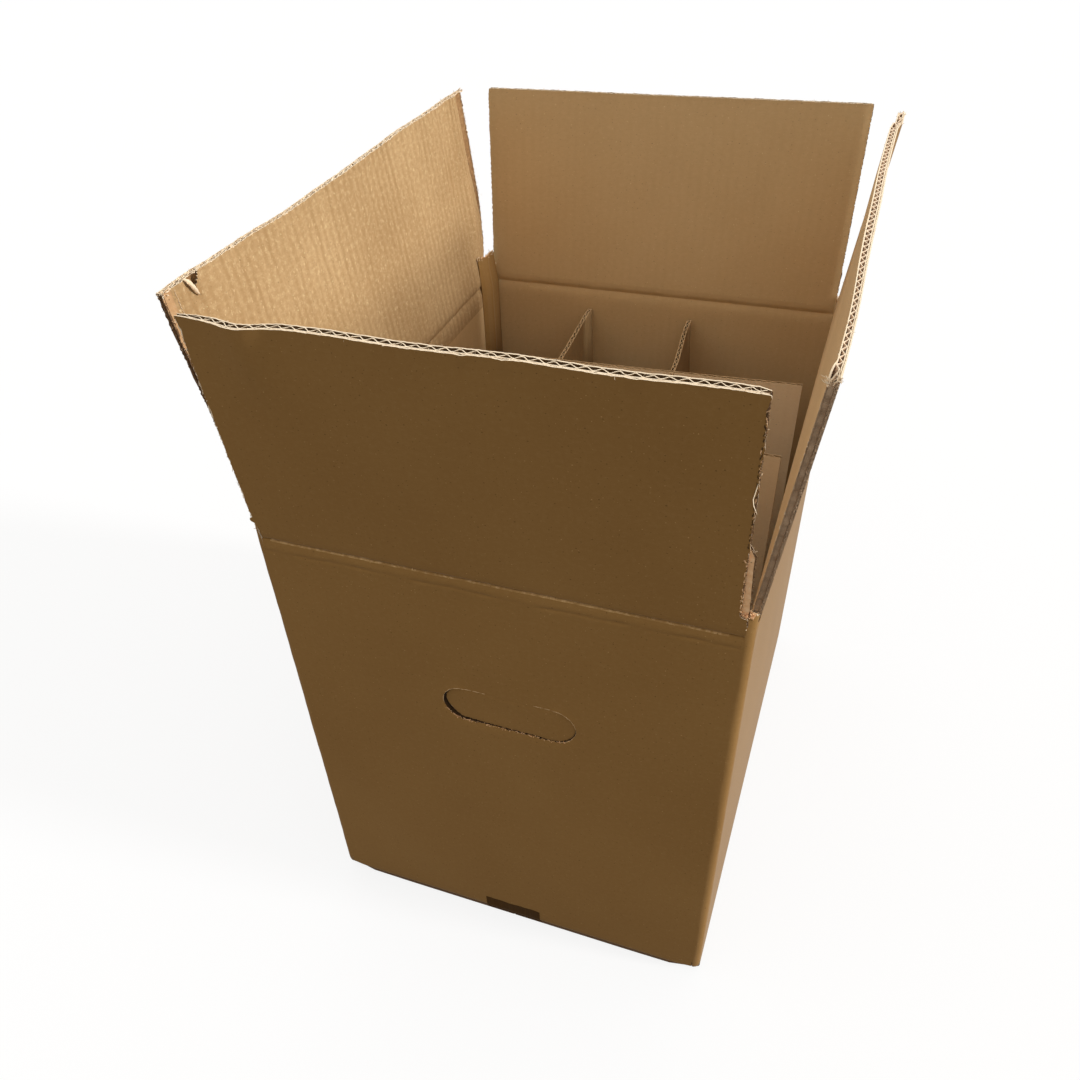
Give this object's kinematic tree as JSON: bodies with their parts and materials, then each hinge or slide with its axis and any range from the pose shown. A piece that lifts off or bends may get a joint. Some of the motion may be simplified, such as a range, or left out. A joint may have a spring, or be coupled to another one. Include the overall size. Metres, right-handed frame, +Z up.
{
  "type": "bottle shipping box",
  "caption": "Open corrugated carton for bottles, with upright top flaps, interlocking partitions, closed hand holes and a taped bottom.",
  "frame": {"origin": "centre of the base, on the surface that the box stands on", "axes": "+Z up through the open top; +Y from the narrow front panel to the back panel, along the length; +X to the right along the front panel, seen from the front"},
  "size_m": [0.2938, 0.3798, 0.4447],
  "materials": {
    "case_board": "matt brown kraft liner on double-wall corrugated board",
    "partition_board": "matt brown kraft liner on single-wall corrugated board",
    "tape": "dark brown packing tape, slightly glossy"
  },
  "bodies": {
    "case": {"case_body": "case_board", "bottom_tape": "tape", "long_partition_1": "partition_board", "long_partition_2": "partition_board", "cross_partition_1": "partition_board", "cross_partition_2": "partition_board", "cross_partition_3": "partition_board"},
    "flap_front": {"flap_front": "case_board"},
    "flap_back": {"flap_back": "case_board"},
    "flap_left": {"flap_left": "case_board"},
    "flap_right": {"flap_right": "case_board"},
    "hand_hole_tab_front": {"hand_hole_tab_front": "case_board"},
    "hand_hole_tab_back": {"hand_hole_tab_back": "case_board"}
  },
  "joints": [
    {"name": "flap_front_fold", "type": "hinge", "parent": "case", "child": "flap_front", "pos_m": [0, -0.17515, 0.313], "axis": [-1, 0, 0], "range_deg": [-168.5, 96.5]},
    {"name": "flap_back_fold", "type": "hinge", "parent": "case", "child": "flap_back", "pos_m": [0, 0.17515, 0.313], "axis": [1, 0, 0], "range_deg": [-168.5, 96.5]},
    {"name": "flap_left_fold", "type": "hinge", "parent": "case", "child": "flap_left", "pos_m": [-0.13265, 0, 0.3178], "axis": [0, 1, 0], "range_deg": [-168.5, 96.5]},
    {"name": "flap_right_fold", "type": "hinge", "parent": "case", "child": "flap_right", "pos_m": [0.13265, 0, 0.3178], "axis": [0, -1, 0], "range_deg": [-168.5, 96.5]},
    {"name": "hand_hole_tab_front_crease", "type": "hinge", "parent": "case", "child": "hand_hole_tab_front", "pos_m": [0.008, -0.1705, 0.2321], "axis": [1, 0, 0], "range_deg": [0, 9]},
    {"name": "hand_hole_tab_back_crease", "type": "hinge", "parent": "case", "child": "hand_hole_tab_back", "pos_m": [-0.008, 0.1705, 0.2321], "axis": [-1, 0, 0], "range_deg": [0, 4.5]}
  ]
}
